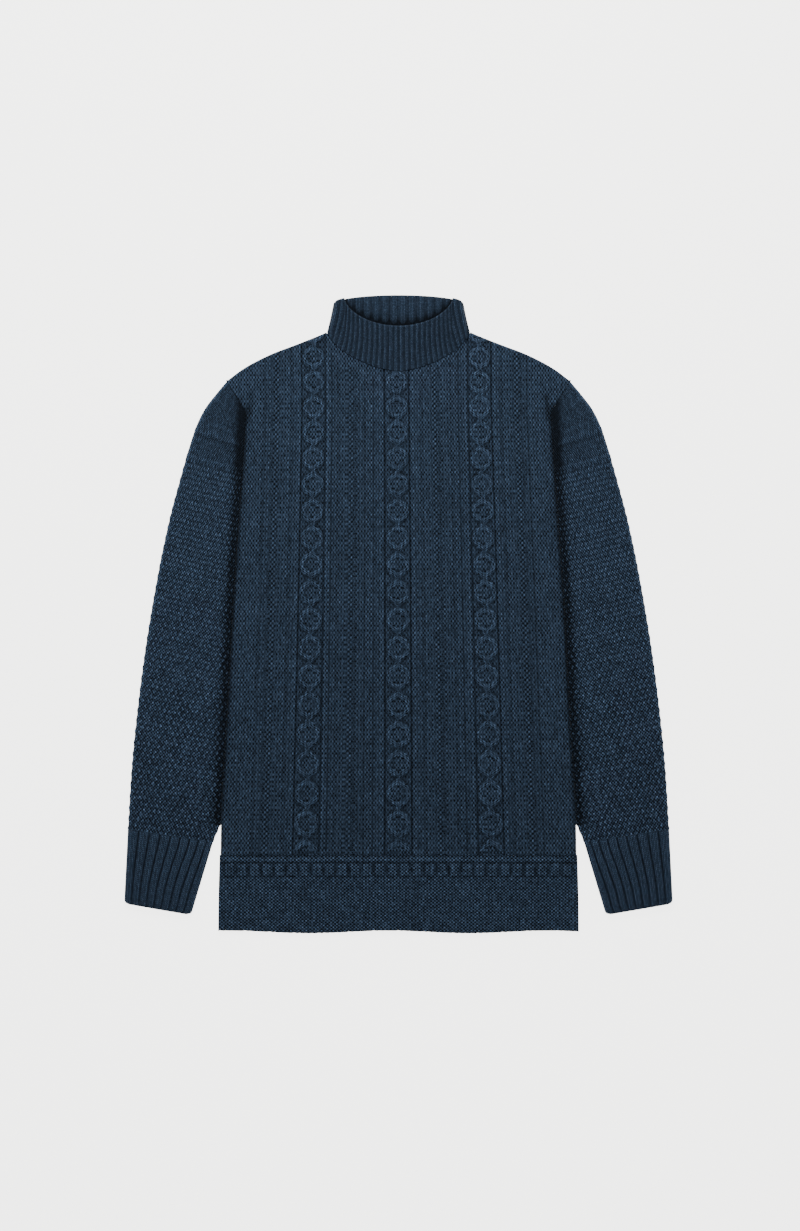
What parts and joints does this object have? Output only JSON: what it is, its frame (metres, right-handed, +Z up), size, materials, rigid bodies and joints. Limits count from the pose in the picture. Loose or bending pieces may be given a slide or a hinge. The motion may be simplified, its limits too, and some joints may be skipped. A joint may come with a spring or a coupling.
{
  "type": "guernsey sweater",
  "caption": "Navy wool guernsey fisherman sweater laid flat, with ring cables, moss columns, a stand-up ribbed collar, ribbed cuffs and a plain welt below garter ridges.",
  "frame": {"origin": "on the surface it lies on, under the middle of its outline", "axes": "+Y from the hem to the collar, +Z up off the surface from the back to the front, +X to the right of someone looking down at its front with the collar away from them"},
  "size_m": [0.696, 0.8102, 0.016],
  "materials": {
    "body_knit": "matte worsted wool, cabled knit",
    "welt_knit": "matte worsted wool, plain knit",
    "rib_knit": "matte worsted wool, ribbed knit",
    "sleeve_knit": "matte worsted wool, moss knit"
  },
  "bodies": {
    "root": {"front_body": "body_knit", "back_body": "body_knit", "front_welt": "welt_knit", "back_welt": "welt_knit", "collar": "rib_knit", "sleeve_left": "sleeve_knit", "sleeve_right": "sleeve_knit", "cuff_left": "rib_knit", "cuff_right": "rib_knit"}
  },
  "joints": []
}
